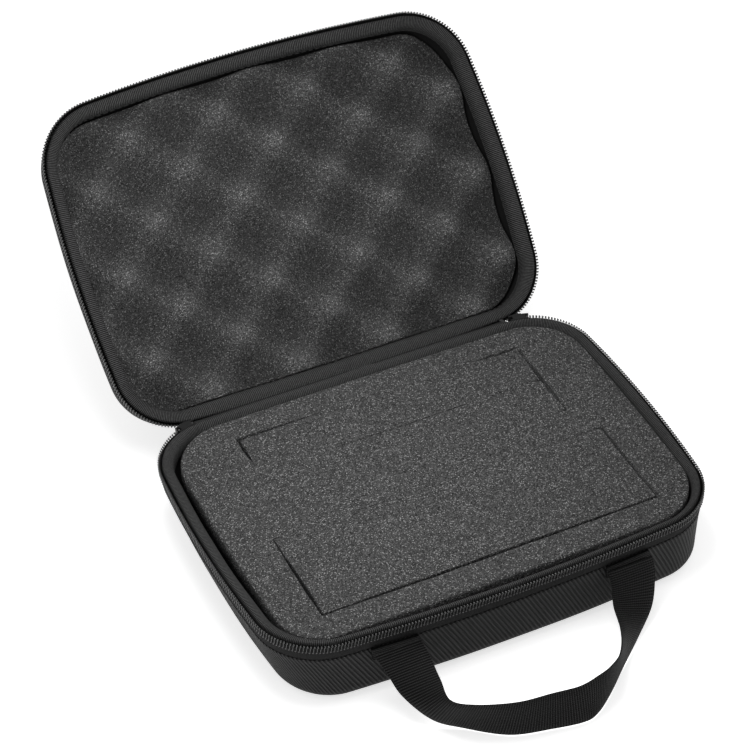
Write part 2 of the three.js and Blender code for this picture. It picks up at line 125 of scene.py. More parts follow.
class Outline:
    """A bulged rectangle of four shallow arcs and four round corners, measured by the length
    along it, counter-clockwise from the front end of the right side. Its eight stretches are the
    right side, rear right corner, back, rear left corner, left side and so on."""

    def __init__(self, half_width, front, back, side, front_arc, back_arc, corners, middle_x=0.0):
        def at(x, y):
            return np.array([x + middle_x, y], float)

        sides = [
            (at(half_width - side, 0), side),
            (at(0, back - back_arc), back_arc),
            (at(side - half_width, 0), side),
            (at(0, front_arc - front), front_arc),
        ]
        near = [at(half_width, back), at(-half_width, back)]
        near += [at(-half_width, -front), at(half_width, -front)]
        rounds = []
        for i, radius in enumerate(corners):
            (one, one_radius), (two, two_radius) = sides[i], sides[(i + 1) % 4]
            middle = crossing(one, one_radius - radius, two, two_radius - radius, near[i])
            rounds.append((middle, radius))

        def angle(start, end):
            return math.atan2(end[1] - start[1], end[0] - start[0]) % (2 * math.pi)

        rows = []
        for i in range(4):
            centre, radius = sides[i]
            middle, corner = rounds[i]
            first = angle(centre, rounds[(i + 3) % 4][0])
            turn = angle(centre, middle)
            last = angle(sides[(i + 1) % 4][0], middle)
            rows.append([*centre, radius, first, turn + 2 * math.pi * (turn < first)])
            rows.append([*middle, corner, turn, last + 2 * math.pi * (last < turn)])
        self.rows = np.array(rows)
        lengths = self.rows[:, 2] * (self.rows[:, 4] - self.rows[:, 3])
        self.starts = np.concatenate([[0], np.cumsum(lengths)])
        self.length = self.starts[-1]

    def along(self, s):
        """Centre x and y, radius, cosine and sine of the arc at each length s."""
        s = np.asarray(s, float) % self.length
        i = np.clip(np.searchsorted(self.starts, s, side="right") - 1, 0, 7)
        x, y, radius, first, _ = np.moveaxis(self.rows[i], -1, 0)
        angle = first + (s - self.starts[i]) / radius
        return x, y, radius, np.cos(angle), np.sin(angle)

    def points(self, s, offset, height):
        """Points at lengths s, at an offset and a height, as an array of x, y, z."""
        s, offset, height = np.broadcast_arrays(np.asarray(s, float), offset, height)
        x, y, radius, cos, sin = self.along(s)
        reach = radius + offset
        return np.stack([x + reach * cos, y + reach * sin, height], -1)

    def stations(self, step):
        """Evenly spaced lengths round the whole outline."""
        count = int(round(self.length / step))
        return np.arange(count) * self.length / count


RIM = Outline(
    HALF_WIDTH, FRONT_REACH, BACK_REACH, SIDE_ARC, FRONT_ARC, BACK_ARC,
    [REAR_CORNER, REAR_CORNER, FRONT_CORNER, FRONT_CORNER],
)
FOAM = Outline(
    half_width=121.2, front=88.5, back=84.8, side=1500, front_arc=3500, back_arc=9000,
    corners=[31, 33, 25, 33], middle_x=1.6,
)
BACK_START, BACK_END = RIM.starts[2:4]
ZIP_FROM = BACK_END + 2
ZIP_TO = RIM.length + BACK_START - 2


def to_base(points):
    """From heights over the meeting plane to heights over the table."""
    return points + [0, 0, BASE_DEPTH]


def leaning(points):
    """The base's walls lean: its floor stands to the right of its rim and further forward, and is
    a little narrower."""
    share = np.maximum(0, (BASE_DEPTH - SEAM_DEPTH - points[..., 2:]) / (BASE_DEPTH - SEAM_DEPTH))
    narrower = points * [BASE_NARROWING / HALF_WIDTH, 0, 0]
    return points + share * (BASE_LEAN - narrower)


def to_leaning_base(points):
    return leaning(to_base(points))


def to_lid(points):
    """From the base's side of the meeting plane to the open lid."""
    y = points[..., 1] - HINGE_Y
    z = BASE_DEPTH - points[..., 2] - HINGE_Z
    cos, sin = math.cos(LID_OPEN), math.sin(LID_OPEN)
    return np.stack([points[..., 0], HINGE_Y + y * cos + z * sin, HINGE_Z - y * sin + z * cos], -1)


def stay(points):
    """For points that already have heights over the table."""
    return points


# ------------------------------------------------------------------ meshes

class Form:
    """Collects the faces of one piece, with thread coordinates in millimetres."""

    def __init__(self):
        self.points, self.faces, self.threads, self.count = [], [], [], 0

    def add(self, points):
        points = np.asarray(points, float).reshape(-1, 3)
        first = self.count
        self.points.append(points)
        self.count += len(points)
        return np.arange(first, self.count)

    def face(self, corners, threads):
        self.faces.append(list(corners))
        self.threads.append(np.asarray(threads, float))

    def grid(self, points, u, v, wrap_u=False, wrap_v=False):
        """A sheet of quads over rows of points. u and v have one value more where it wraps."""
        rows, columns = points.shape[:2]
        index = self.add(points).reshape(rows, columns)
        if wrap_u:
            index = np.vstack([index, index[:1]])
        if wrap_v:
            index = np.hstack([index, index[:, :1]])
        u, v = np.meshgrid(u, v, indexing="ij")
        threads = np.stack([u, v], -1)
        corners = [(slice(None, -1), slice(None, -1)), (slice(1, None), slice(None, -1))]
        corners += [(slice(1, None), slice(1, None)), (slice(None, -1), slice(1, None))]
        faces = np.stack([index[c] for c in corners], -1).reshape(-1, 4)
        threads = np.stack([threads[c] for c in corners], -2).reshape(-1, 4, 2)
        self.faces.extend(faces.tolist())
        self.threads.extend(threads)
        return index

    def cap(self, index, threads=None):
        """Faces over both ends of a tube made by grid."""
        first, last = index[0][:-1], index[-1][:-1]
        threads = np.zeros((len(first), 2)) if threads is None else threads
        self.face(first, threads)
        self.face(last[::-1], threads[::-1])

    def mesh(self, name):
        points = np.concatenate(self.points) * MM
        faces, threads = self.faces, self.threads
        if signed_volume(points, faces) < 0:
            faces = [face[::-1] for face in faces]
            threads = [thread[::-1] for thread in threads]
        mesh = bpy.data.meshes.new(name)
        mesh.from_pydata(points.tolist(), [], faces)
        layer = mesh.uv_layers.new(name="threads")
        layer.data.foreach_set("uv", np.concatenate(threads).astype(np.float32).ravel())
        mesh.shade_smooth()
        return mesh


def signed_volume(points, faces):
    """Six times the volume, which is negative if the faces are inside out."""
    total = 0.0
    for sides in {len(face) for face in faces}:
        chosen = points[np.array([face for face in faces if len(face) == sides])]
        for k in range(1, sides - 1):
            normal = np.cross(chosen[:, k], chosen[:, k + 1])
            total += np.einsum("ij,ij->", chosen[:, 0], normal)
    return total


def show(name, form, material, sharp_deg=None):
    mesh = form.mesh(name)
    mesh.materials.append(material)
    if sharp_deg:
        mesh.set_sharp_from_angle(angle=math.radians(sharp_deg))
    piece = bpy.data.objects.new(name, mesh)
    bpy.context.scene.collection.objects.link(piece)
    return piece


def lengths_along(profile):
    """The length along a profile at each of its points."""
    steps = np.hypot(*np.diff(profile, axis=0).T)
    return np.concatenate([[0], np.cumsum(steps)])


def softened(profile, rounds=3, closed=True):
    """A coarse profile with its corners cut again and again, which rounds them."""
    points = np.array(profile, float)
    for _ in range(rounds):
        after = np.roll(points, -1, axis=0) if closed else points[1:]
        before = points if closed else points[:-1]
        cut = np.stack([0.75 * before + 0.25 * after, 0.25 * before + 0.75 * after], 1).reshape(-1, 2)
        points = cut if closed else np.vstack([points[:1], cut[1:-1], points[-1:]])
    return points


def carry(form, outline, stations, profile, place, wrap=True, closed=True, ripple=None):
    """A profile of (offset, height) carried round an outline."""
    grid = outline.points(stations[:, None], profile[None, :, 0], profile[None, :, 1])
    if ripple is not None:
        grid = ripple(grid, stations)
    u = np.append(stations, outline.length) if wrap else stations
    ring = np.vstack([profile, profile[:1]]) if closed else profile
    index = form.grid(place(grid), u, lengths_along(ring), wrap, closed)
    if not wrap:
        form.cap(index, profile)
    return index


def triangles(loops, spacing):
    """Triangles that fill the first loop around the others, with inner points on a grid."""
    rim = np.concatenate(loops)
    edges, start = [], 0
    for loop in loops:
        order = np.arange(len(loop)) + start
        edges += list(zip(order.tolist(), np.roll(order, -1).tolist()))
        start += len(loop)
    low, high = rim.min(0), rim.max(0)
    xs = np.arange(low[0] + spacing / 2, high[0], spacing)
    ys = np.arange(low[1] + spacing / 2, high[1], spacing * 0.87)
    x, y = np.meshgrid(xs, ys)
    x[1::2] += spacing / 2
    inner = np.stack([x.ravel(), y.ravel()], -1)
    inner = inner[within(inner, loops)]
    inner = inner[clear_of(inner, rim, edges, spacing * 0.45)]
    given = np.concatenate([rim, inner])
    found = delaunay_2d_cdt([Vector(p) for p in given], edges, [], 0, 1e-5)
    points = np.array([tuple(p) for p in found[0]])
    faces = np.array(found[2])
    faces = faces[within(points[faces].mean(1), loops)]
    new = {old: i for i, olds in enumerate(found[3]) for old in olds}
    return points, faces, [new[i] for i in range(len(rim))]


def within(points, loops):
    """Which points lie inside an odd number of the loops."""
    inside = np.zeros(len(points), bool)
    for loop in loops:
        for (x0, y0), (x1, y1) in zip(loop, np.roll(loop, -1, axis=0)):
            if y0 == y1:
                continue
            between = (points[:, 1] > min(y0, y1)) & (points[:, 1] <= max(y0, y1))
            at = x0 + (points[:, 1] - y0) * (x1 - x0) / (y1 - y0)
            inside ^= between & (points[:, 0] < at)
    return inside


def clear_of(points, rim, edges, distance):
    """Which points are further than distance from every edge."""
    clear = np.ones(len(points), bool)
    for a, b in edges:
        start, step = rim[a], rim[b] - rim[a]
        share = np.clip((points - start) @ step / max(step @ step, 1e-9), 0, 1)
        clear &= np.hypot(*(points - start - share[:, None] * step).T) > distance
    return clear


def plate(form, loops, walls, spacing, surface, place):
    """A body with a free top: surface gives its height, and each loop's wall goes down from the
    top in rings given as functions from the loop's points to lower points. All walls end on one
    flat underside."""
    points, faces, rim = triangles(loops, spacing)
    top = np.column_stack([points, surface(points)])
    index = form.add(place(top))
    for face in faces:
        form.face(index[face], points[face])
    feet, start = [], 0
    for loop, rings in zip(loops, walls):
        upper = index[rim[start:start + len(loop)]]
        before = top[rim[start:start + len(loop)]]
        down = 0.0
        for ring in rings:
            lower_points = ring(before)
            lower = form.add(place(lower_points))
            drop = np.linalg.norm(lower_points - before, axis=1).mean()
            for k in range(len(loop)):
                after = (k + 1) % len(loop)
                corners = [upper[k], upper[after], lower[after], lower[k]]
                form.face(corners, [(k, down), (k + 1, down), (k + 1, down + drop), (k, down + drop)])
            upper, before, down = lower, lower_points, down + drop
        feet.append((upper, before))
        start += len(loop)
    under, faces, rim = triangles([before[:, :2] for _, before in feet], 40)
    height = feet[0][1][0, 2]
    index = np.full(len(under), -1)
    index[rim] = np.concatenate([lower for lower, _ in feet])
    loose = np.flatnonzero(index < 0)
    index[loose] = form.add(place(np.column_stack([under[loose], np.full(len(loose), height)])))
    for face in faces:
        form.face(index[face][::-1], under[face][::-1])


def tube(form, path, side, radius, sections):
    """A round thread along a path, turned by the direction side, with its ends closed."""
    tangent = np.gradient(path, axis=0)
    tangent /= np.linalg.norm(tangent, axis=1)[:, None]
    across = side - (side * tangent).sum(1)[:, None] * tangent
    across /= np.linalg.norm(across, axis=1)[:, None]
    other = np.cross(tangent, across)
    angle = np.arange(sections) * 2 * math.pi / sections
    radius = np.broadcast_to(radius, len(path))[:, None, None]
    cos, sin = np.cos(angle)[None, :, None], np.sin(angle)[None, :, None]
    grid = path[:, None] + radius * (cos * across[:, None] + sin * other[:, None])
    run = np.concatenate([[0], np.cumsum(np.linalg.norm(np.diff(path, axis=0), axis=1))])
    form.cap(form.grid(grid, run, np.arange(sections + 1.0), wrap_v=True))


# ------------------------------------------------------------------ materials

class Nodes:
    """Short forms for building one material's node tree."""

    def __init__(self, name):
        self.material = bpy.data.materials.new(name)
        self.material.use_nodes = True
        self.tree = self.material.node_tree
        self.shader = self.tree.nodes["Principled BSDF"]

    def node(self, kind, inputs=(), **settings):
        made = self.tree.nodes.new(kind)
        for key, value in settings.items():
            setattr(made, key, value)
        for key, value in dict(inputs).items():
            self.put(made.inputs[key], value)
        return made

    def put(self, socket, value):
        if isinstance(value, bpy.types.NodeSocket):
            self.tree.links.new(value, socket)
        else:
            socket.default_value = value

    def math(self, operation, *values):
        made = self.tree.nodes.new("ShaderNodeMath")
        made.operation = operation
        for socket, value in zip(made.inputs, values):
            self.put(socket, value)
        return made.outputs[0]

    def threads(self):
        """The thread coordinates: along the rim or strap, and across it."""
        made = self.node("ShaderNodeUVMap", uv_map="threads")
        split = self.node("ShaderNodeSeparateXYZ", {"Vector": made.outputs["UV"]})
        return split.outputs["X"], split.outputs["Y"]

    def position(self):
        return self.node("ShaderNodeTexCoord").outputs["Object"]

    def noise(self, scale, detail, roughness=0.6):
        inputs = {"Vector": self.position(), "Scale": scale, "Detail": detail, "Roughness": roughness}
        return self.node("ShaderNodeTexNoise", inputs).outputs["Fac"]

    def wave(self, value, pitch):
        """A smooth wave from 0 to 1 that repeats every pitch."""
        turned = self.math("MULTIPLY", value, 2 * math.pi / pitch)
        return self.math("MULTIPLY_ADD", self.math("SINE", turned), 0.5, 0.5)

    def spread(self, value, low, high, to_low=0.0, to_high=1.0):
        """The value stretched from low and high to to_low and to_high, and held between them."""
        inputs = {"Value": value, "From Min": low, "From Max": high}
        inputs |= {"To Min": to_low, "To Max": to_high}
        return self.node("ShaderNodeMapRange", inputs).outputs["Result"]

    def colour(self, share, dark, light):
        """From dark to light by share. Each is a grey value or another colour."""
        made = self.tree.nodes.new("ShaderNodeMix")
        made.data_type = "RGBA"
        self.put(made.inputs[0], share)
        for slot, end in ((6, dark), (7, light)):
            self.put(made.inputs[slot], grey(end) if isinstance(end, float) else end)
        return made.outputs[2]

    def finish(self, colour, height, depth, roughness, specular):
        """The material with its colour, and a bump of depth millimetres made from height."""
        inputs = {"Height": height, "Distance": depth * MM, "Strength": 1.0}
        bump = self.node("ShaderNodeBump", inputs).outputs["Normal"]
        self.put(self.shader.inputs["Base Color"], colour)
        self.put(self.shader.inputs["Normal"], bump)
        self.put(self.shader.inputs["Roughness"], roughness)
        self.put(self.shader.inputs["Specular IOR Level"], specular)
        return self.material


def grey(value):
    return (value, value, value, 1.0)


def nylon_cloth():
    """Ballistic nylon: thick flat yarns laid in slanting ribs."""
    n = Nodes("ballistic_nylon")
    u, v = n.threads()
    slant = n.wave(n.math("MULTIPLY_ADD", v, 0.43, u), 2.4)
    yarn = n.wave(n.math("MULTIPLY_ADD", u, -0.2, v), 1.2)
    patch = n.noise(60, 2)
    height = n.math("MULTIPLY_ADD", yarn, 0.35, n.math("POWER", slant, 0.6))
    lit = n.math("MULTIPLY", n.math("POWER", slant, 1.6), n.spread(yarn, 0, 1, 0.6, 1.0))
    share = n.math("MULTIPLY", lit, n.spread(patch, 0.3, 0.7, 0.75, 1.0))
    return n.finish(n.colour(share, 0.006, 0.046), height, 0.7, 0.6, 0.1)


def binding_cloth():
    """Cloth tape with fine ribs across it."""
    n = Nodes("ribbed_binding")
    u, v = n.threads()
    rib = n.wave(u, 1.05)
    cross = n.wave(v, 0.7)
    fuzz = n.noise(900, 2)
    height = n.math("ADD", rib, n.math("MULTIPLY_ADD", cross, 0.3, n.math("MULTIPLY", fuzz, 0.5)))
    share = n.math("MULTIPLY", rib, n.spread(fuzz, 0.3, 0.7, 0.55, 1.0))
    return n.finish(n.colour(share, 0.004, 0.082), height, 0.4, 0.85, 0.08)


def zip_tape_cloth(name, dark, light):
    n = Nodes(name)
    u, v = n.threads()
    fold = n.math("PINGPONG", v, 1.1)
    chevron = n.wave(n.math("ADD", u, fold), 0.8)
    fuzz = n.noise(1200, 2)
    share = n.math("MULTIPLY", chevron, n.spread(fuzz, 0.3, 0.7, 0.6, 1.0))
    return n.finish(n.colour(share, dark, light), chevron, 0.08, 0.85, 0.1)


def lining_cloth():
    n = Nodes("knitted_lining")
    u, v = n.threads()
    wale = n.wave(u, 0.9)
    course = n.wave(n.math("ADD", v, n.math("MULTIPLY", wale, 0.3)), 0.7)
    height = n.math("MULTIPLY", wale, course)
    return n.finish(n.colour(height, 0.005, 0.014), height, 0.12, 0.9, 0.08)


def foam_skin(name, dark, light, glint_colour):
    """Open-cell foam cut with a wire: dark pores, and on a few cell walls painted highlights, glints
    put into the colour.
    Deep hollows, marked on the mesh, get painted shade that darkens them."""
    n = Nodes(name)
    fine = n.noise(1500, 2, 0.85)
    coarse = n.noise(420, 2)
    # painted highlights: bright glints on a few cells, mixed into the colour
    inputs = {"Vector": n.position(), "Scale": 1350.0}
    cells = n.node("ShaderNodeTexVoronoi", inputs, feature="F1", distance="EUCLIDEAN")
    pick = n.node("ShaderNodeSeparateXYZ", {"Vector": cells.outputs["Color"]}).outputs["X"]
    near = n.spread(cells.outputs["Distance"], 0.55, 0.2)
    glint = n.math("MULTIPLY", n.spread(pick, 0.6, 1.0), near)
    pores = n.spread(fine, 0.37, 0.64)
    share = n.math("ADD", n.spread(coarse, 0.3, 0.7, -0.07, 0.07), pores)
    # painted shade: the colour darkens where the mesh marks deep hollows
    hollow_shade = n.node("ShaderNodeAttribute", attribute_name="hollow_shade").outputs["Fac"]
    shade = n.spread(hollow_shade, 0, 1, 1.0, 0.36)
    ground = n.colour(n.math("MULTIPLY", share, shade), dark, light)
    height = n.math("MULTIPLY_ADD", glint, 0.4, fine)
    colour = n.colour(n.math("MULTIPLY", glint, shade), ground, glint_colour)
    return n.finish(colour, height, 0.9, 0.95, 0.05)


def webbing_cloth():
    n = Nodes("handle_webbing_cloth")
    u, v = n.threads()
    rib = n.wave(u, RIB_PITCH)
    yarn = n.wave(n.math("ADD", v, n.math("MULTIPLY", rib, 0.5)), 1.3)
    fuzz = n.noise(1000, 2)
    crown = n.math("MULTIPLY", n.math("POWER", rib, 2.6), n.spread(yarn, 0, 1, 0.55, 1.0))
    share = n.math("MULTIPLY", crown, n.spread(fuzz, 0.3, 0.7, 0.7, 1.0))
    height = n.math("MULTIPLY_ADD", rib, 1.4, yarn)
    return n.finish(n.colour(share, 0.0006, 0.034), height, 0.2, 0.6, 0.08)


def coil_plastic():
    n = Nodes("coil_nylon")
    fleck = n.noise(700, 2)
    return n.finish(n.colour(fleck, 0.016, 0.04), fleck, 0.02, 0.25, 0.6)


def thread_twist():
    n = Nodes("sewing_thread")
    u, v = n.threads()
    ply = n.wave(n.math("ADD", u, n.math("MULTIPLY", v, 0.2)), 0.5)
    return n.finish(n.colour(ply, 0.01, 0.045), ply, 0.05, 0.6, 0.15)


def enamel():
    n = Nodes("black_enamel")
    wear = n.noise(220, 4)
    return n.finish(n.colour(wear, 0.004, 0.01), wear, 0.03, 0.35, 0.3)


NYLON = nylon_cloth()
BINDING = binding_cloth()
TAPE = zip_tape_cloth("zip_tape", 0.006, 0.016)
PALE_TAPE = zip_tape_cloth("pale_tape", 0.025, 0.055)
LINING = lining_cloth()
FOAM_SKIN = foam_skin("charcoal_foam", 0.007, 0.09, 0.4)
CRATE_SKIN = foam_skin("crate_foam", 0.007, 0.12, 0.42)
WEBBING = webbing_cloth()
COIL = coil_plastic()
THREAD = thread_twist()
ENAMEL = enamel()


# ------------------------------------------------------------------ shells, lining, binding

def wall_offset(depth):
    """The outer wall's offset at a depth under the meeting plane."""
    return SEAM_OFFSET - (depth - SEAM_DEPTH) * math.tan(DRAFT)


def arc(offset, height, radius, start, end, steps):
    angle = np.linspace(start, end, steps + 1)
    return np.column_stack([offset + radius * np.cos(angle), height + radius * np.sin(angle)])


def edge_middle(depth):
    """The middle of the rounding between wall and floor."""
    start = depth - EDGE_ROUNDING * (1 - math.sin(DRAFT))
    return wall_offset(start) - EDGE_ROUNDING * math.cos(DRAFT), EDGE_ROUNDING - depth


def subdivided(profile, step):
    """The same profile with points at most step apart."""
    parts = []
    for a, b in zip(profile[:-1], profile[1:]):
        count = max(1, math.ceil(np.hypot(*(b - a)) / step))
        parts.append(a + (b - a) * np.arange(count)[:, None] / count)
    return np.vstack(parts + [profile[-1:]])


def inner_face(depth, more):
    """The inside of the wall, moved inwards by more."""
    across = (WALL + more) / math.cos(DRAFT)
    upright = INNER_OFFSET - more
    bend = SEAM_DEPTH + (SEAM_OFFSET - across - upright) / math.tan(DRAFT)
    round_off = arc(*edge_middle(depth), EDGE_ROUNDING - WALL - more, -DRAFT, -math.pi / 2, 6)
    return np.vstack([[upright, -bend], round_off])


def shell_profile(depth):
    """From the floor's outside up to the seam and the land under the zip tape, over the top, and
    down to the floor's inside."""
    outer = arc(*edge_middle(depth), EDGE_ROUNDING, -math.pi / 2, -DRAFT, 12)
    inset = outer[0] - [0.6, 0]
    lip = softened([
        (wall_offset(SEAM_DEPTH + 4), -SEAM_DEPTH - 4),
        (SEAM_OFFSET + 0.1, -SEAM_DEPTH - 0.9),
        (SEAM_OFFSET - 0.2, -SEAM_DEPTH + 0.1),
        (TAPE_SEAT[0], -SEAM_DEPTH - 0.1),
    ], 3, closed=False)
    land = np.array([
        (TAPE_SEAT[1], -LAND_DEPTH),
        (LAND_OFFSET, -LAND_DEPTH),
        (LAND_OFFSET, -2.4),
        (LAND_OFFSET - 1, -2.4),
        (INNER_OFFSET, -5),
    ])
    inner = inner_face(depth, 0)
    rows = [[inset], outer, lip, land, inner, [inner[-1] - [0.6, 0]]]
    return subdivided(np.vstack(rows), 3.0)


def pushed(grid, stations, push):
    """The points moved outwards by push, which has a value for each."""
    _, _, _, cos, sin = RIM.along(stations)
    return grid + np.stack([push * cos[:, None], push * sin[:, None], np.zeros_like(push)], -1)


def moulded_wave(grid, stations):
    """Slight waves in the moulded wall that fade out towards the seam."""
    depth = np.clip((-grid[..., 2] - SEAM_DEPTH) / 10, 0, 1)
    long = np.sin(stations / 29 + 1.1)[:, None]
    short = 0.6 * np.sin(stations[:, None] / 11.5 + grid[..., 2] / 9)
    return pushed(grid, stations, 0.16 * depth * (long + short))


def bowl(form, step, profile, place, ripple=None):
    """A profile carried round the rim, with its first and last rings filled flat."""
    stations = RIM.stations(step)
    index = carry(form, RIM, stations, profile, place, closed=False, ripple=ripple)
    below, above = (RIM.points(stations, *profile[column])[:, :2] for column in (0, -1))
    form.face(index[:-1, 0][::-1], below[::-1])
    form.face(index[:-1, -1], above)


def shell(name, depth, place):
    form = Form()
    bowl(form, 2.0, shell_profile(depth), place, moulded_wave)
    return show(name, form, NYLON, 50)


def lining(name, depth, place):
    form = Form()
    top = -BINDING_DEPTH - 0.4
    free, glued = (
        np.vstack([[INNER_OFFSET - more, top], inner_face(depth, more)]) for more in (0.8, 0.35)
    )
    bowl(form, 3.0, subdivided(np.vstack([glued[::-1], free]), 4.0), place)
    return show(name, form, LINING, 50)


def binding_profile(inner):
    """The band over the top of the wall: a crest beside the zip, a slope inwards, and a flap down
    the inside, as far in as inner."""
    return softened([
        (-3.0, -5.6),
        (-2.5, -4.4),
        (-2.5, -1.5),
        (-3.1, -0.15),
        (-4.6, -0.15),
        (inner + 1.7, -1.2),
        (inner + 0.3, -3.4),
        (inner - 0.1, -6),
        (inner + 0.05, -BINDING_DEPTH + 0.5),
        (inner + 0.5, -BINDING_DEPTH - 0.2),
        (INNER_OFFSET - 0.35, -BINDING_DEPTH),
        (INNER_OFFSET - 0.35, -4.8),
        (-5.0, -2.1),
        (-3.9, -2.0),
        (-3.5, -4),
    ])


def offsets(grid, stations):
    x, y, radius, _, _ = RIM.along(stations)
    return np.hypot(grid[..., 0] - x[:, None], grid[..., 1] - y[:, None]) - radius[:, None]


def pulled(grid, stations):
    """The band is pulled tight in some places and bulges in others. Along the hinge, where there
    is no zip, it spreads outwards."""
    wave = 0.10 * np.sin(stations / 7.3) + 0.12 * np.sin(stations / 17 + 0.8)
    x, _, radius, cos, sin = RIM.along(stations)
    depth = np.clip(-grid[..., 2] / 4, 0, 1)
    on_back = (radius > REAR_CORNER) & (sin > 0.99)
    middle = np.clip(1.4 - np.abs(x + radius * cos) / 75, 0, 1) * on_back
    outer = np.clip((offsets(grid, stations) + 4.6) / 2, 0, 1)
    push = 1.6 * np.minimum(middle * 2, 1)[:, None] * outer - depth * wave[:, None]
    return pushed(grid, stations, push)


def swelling_left(grid, stations):
    """The base's band, which also swells inwards along the left side."""
    _, _, _, cos, _ = RIM.along(stations)
    inner = np.clip((-4.2 - offsets(grid, stations)) / 2.5, 0, 1)
    push = -1.7 * np.clip(-1.3 * cos, 0, 1)[:, None] * inner
    return pulled(pushed(grid, stations, push), stations)


def binding(name, place, inner, ripple):
    form = Form()
    carry(form, RIM, RIM.stations(1.6), binding_profile(inner), place, ripple=ripple)
    return show(name, form, BINDING)


def lap(name, place, inner, middle):
    """Where the ends of the band overlap, at a length along the back."""
    form = Form()
    outer = binding_profile(inner)
    centre = np.array([-5.2, -4.6])
    outer += (outer - centre) / np.hypot(*(outer - centre).T)[:, None] * 0.3
    outer[:, 1] = np.minimum(outer[:, 1], -0.1)
    stations = BACK_START + middle + np.linspace(-4, 4, 9)
    carry(form, RIM, stations, outer, place, wrap=False, ripple=pulled)
    return show(name, form, BINDING, 50)


def stitches(name, place, offset, height):
    """A row of sewing stitches that sink into the cloth at both ends."""
    form = Form()
    share = np.linspace(-1, 1, 5)
    for s in np.arange(0, RIM.length - 3, STITCH_PITCH):
        at = s + share * STITCH_LENGTH / 2
        path = place(RIM.points(at, offset + 0.22 * (1 - share ** 2) - 0.16, height))
        side = np.repeat(path[-1:] - path[:1], 5, axis=0)
        up = place(RIM.points(at, offset, height + 1)) - place(RIM.points(at, offset, height))
        tube(form, path, np.cross(side, up), STITCH_RADIUS * (1.05 - 0.6 * share ** 2), 5)
    return show(name, form, THREAD)


def zip_tape(name, place):
    form = Form()
    profile = softened([
        (-2.75, -11.4), (-2.1, -11.4), (-1.1, -6.5), (-0.85, -2.0), (-1.15, -2.0), (-1.65, -6.5),
    ], 2)
    carry(form, RIM, np.arange(ZIP_FROM, ZIP_TO, 2.0), profile, place, wrap=False)
    return show(name, form, TAPE, 60)


def coil(name, place):
    """A flattened helix of stiff thread: outer legs, rounded heads and inner legs."""
    form = Form()
    steps = 16
    turns = int((ZIP_TO - ZIP_FROM - 2) / TOOTH_PITCH)
    turn = np.arange(turns * steps + 1) / steps
    cos, sin = np.cos(2 * math.pi * turn), np.sin(2 * math.pi * turn)
    s = ZIP_FROM + 1 + TOOTH_PITCH * turn
    offset = -1.15 + 0.4 * np.sign(cos) * np.abs(cos) ** 0.6 + 0.6 * np.abs(sin) ** 4
    height = -2.95 + 2.0 * np.sign(sin) * np.abs(sin) ** 0.8
    path = place(RIM.points(s, offset, height))
    side = place(RIM.points(s + 0.5, -0.9, -3.0)) - place(RIM.points(s - 0.5, -0.9, -3.0))
    radius = 0.2 + 0.42 * np.clip(sin, 0, 1) ** 6 + 0.22 * np.clip(-sin, 0, 1) ** 6
    tube(form, path, side, radius, 8)
    return show(name, form, COIL)


for half, depth, place, walls, ripple, body in (
    ("base", BASE_DEPTH, to_base, to_leaning_base, swelling_left, "case_base"),
    ("lid", LID_DEPTH, to_lid, to_lid, pulled, "lid"),
):
    skin = shell(f"{half}_nylon_shell", depth, walls)
    knit = lining(f"{half}_knit_lining", depth, walls)
    inner = BINDING_INNER[half]
    band = binding(f"{half}_cloth_binding", place, inner, ripple)
    band_lap = lap(f"{half}_binding_lap", place, inner, LAP_FROM_CORNER[half])
    seam = stitches(f"{half}_binding_stitches", place, inner - 0.1, -8.4)
    tape = zip_tape(f"{half}_zip_tape", place)
    teeth = coil(f"{half}_zip_coil", place)
    for piece, node, slot in (
        (skin, "shell", "nylon"),
        (knit, "lining", "lining"),
        (band, "rim_binding", "binding"),
        (tape, "zipper_tape", "tape"),
        (teeth, "zipper_coil", "coil"),
    ):
        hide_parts(f"{half}_{node}")
        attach(piece, body)
    for piece, slot in ((band_lap, "binding"), (seam, "binding")):
        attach(piece, body)


# ------------------------------------------------------------------ foam

# The cuts: left, right, front and back
BACK_BLOCK = (-81, 88.2, 38.8, 68.2)
MIDDLE_BLOCK = (-81, 88.2, 10.5, 38.8)
FRONT_BLOCK = (-95.5, 98.2, -70.5, -10)


def openness(points):
    """How far the cuts gape, from 0 to 1: most at the ends and along the front."""
    x, y = points[:, 0], points[:, 1]

    def near(cx, cy, reach_x, reach_y):
        return np.exp(-((x - cx) / reach_x) ** 2 - ((y - cy) / reach_y) ** 2)

    spots = [near(-76, 68, 34, 5), near(88, 40, 4, 34), near(78, 68, 14, 3), near(98, -40, 4, 40)]
    spots += [near(-95, -48, 4, 34), near(0, -70, 130, 4), near(-81, 60, 3, 10)]
    spots.append(0.35 * near(5, 39, 60, 3))
    return np.clip(np.max(spots, 0) + 0.06 * np.sin(x / 5 + y / 3), 0, 1)


def rectangle(block, grow, step=2.4, corner=0.7):
    """The loop of a block's cut, with small round corners, counter-clockwise."""
    left, right, front, back = block
    left, right, front, back = left - grow, right + grow, front - grow, back + grow
    corner = max(corner + grow, 0.2)
    points = []
    middles = [(right - corner, front + corner, -90), (right - corner, back - corner, 0)]
    middles += [(left + corner, back - corner, 90), (left + corner, front + corner, 180)]
    for i, (x, y, start) in enumerate(middles):
        angle = np.radians(start + np.array([0, 30, 60, 90]))
        points.append(np.column_stack([x + corner * np.cos(angle), y + corner * np.sin(angle)]))
        nx, ny, nstart = middles[(i + 1) % 4]
        turn = math.radians(nstart)
        target = np.array([nx + corner * math.cos(turn), ny + corner * math.sin(turn)])
        edge = target - points[-1][-1]
        count = int(np.hypot(*edge) / step)
        points.append(points[-1][-1] + edge * (np.arange(1, count) / count)[:, None])
    return np.vstack(points)


def outward(loop):
    """The outward direction at each point of a counter-clockwise loop."""
    after = np.roll(loop, -1, axis=0) - np.roll(loop, 1, axis=0)
    return np.column_stack([after[:, 1], -after[:, 0]]) / np.hypot(*after.T)[:, None]


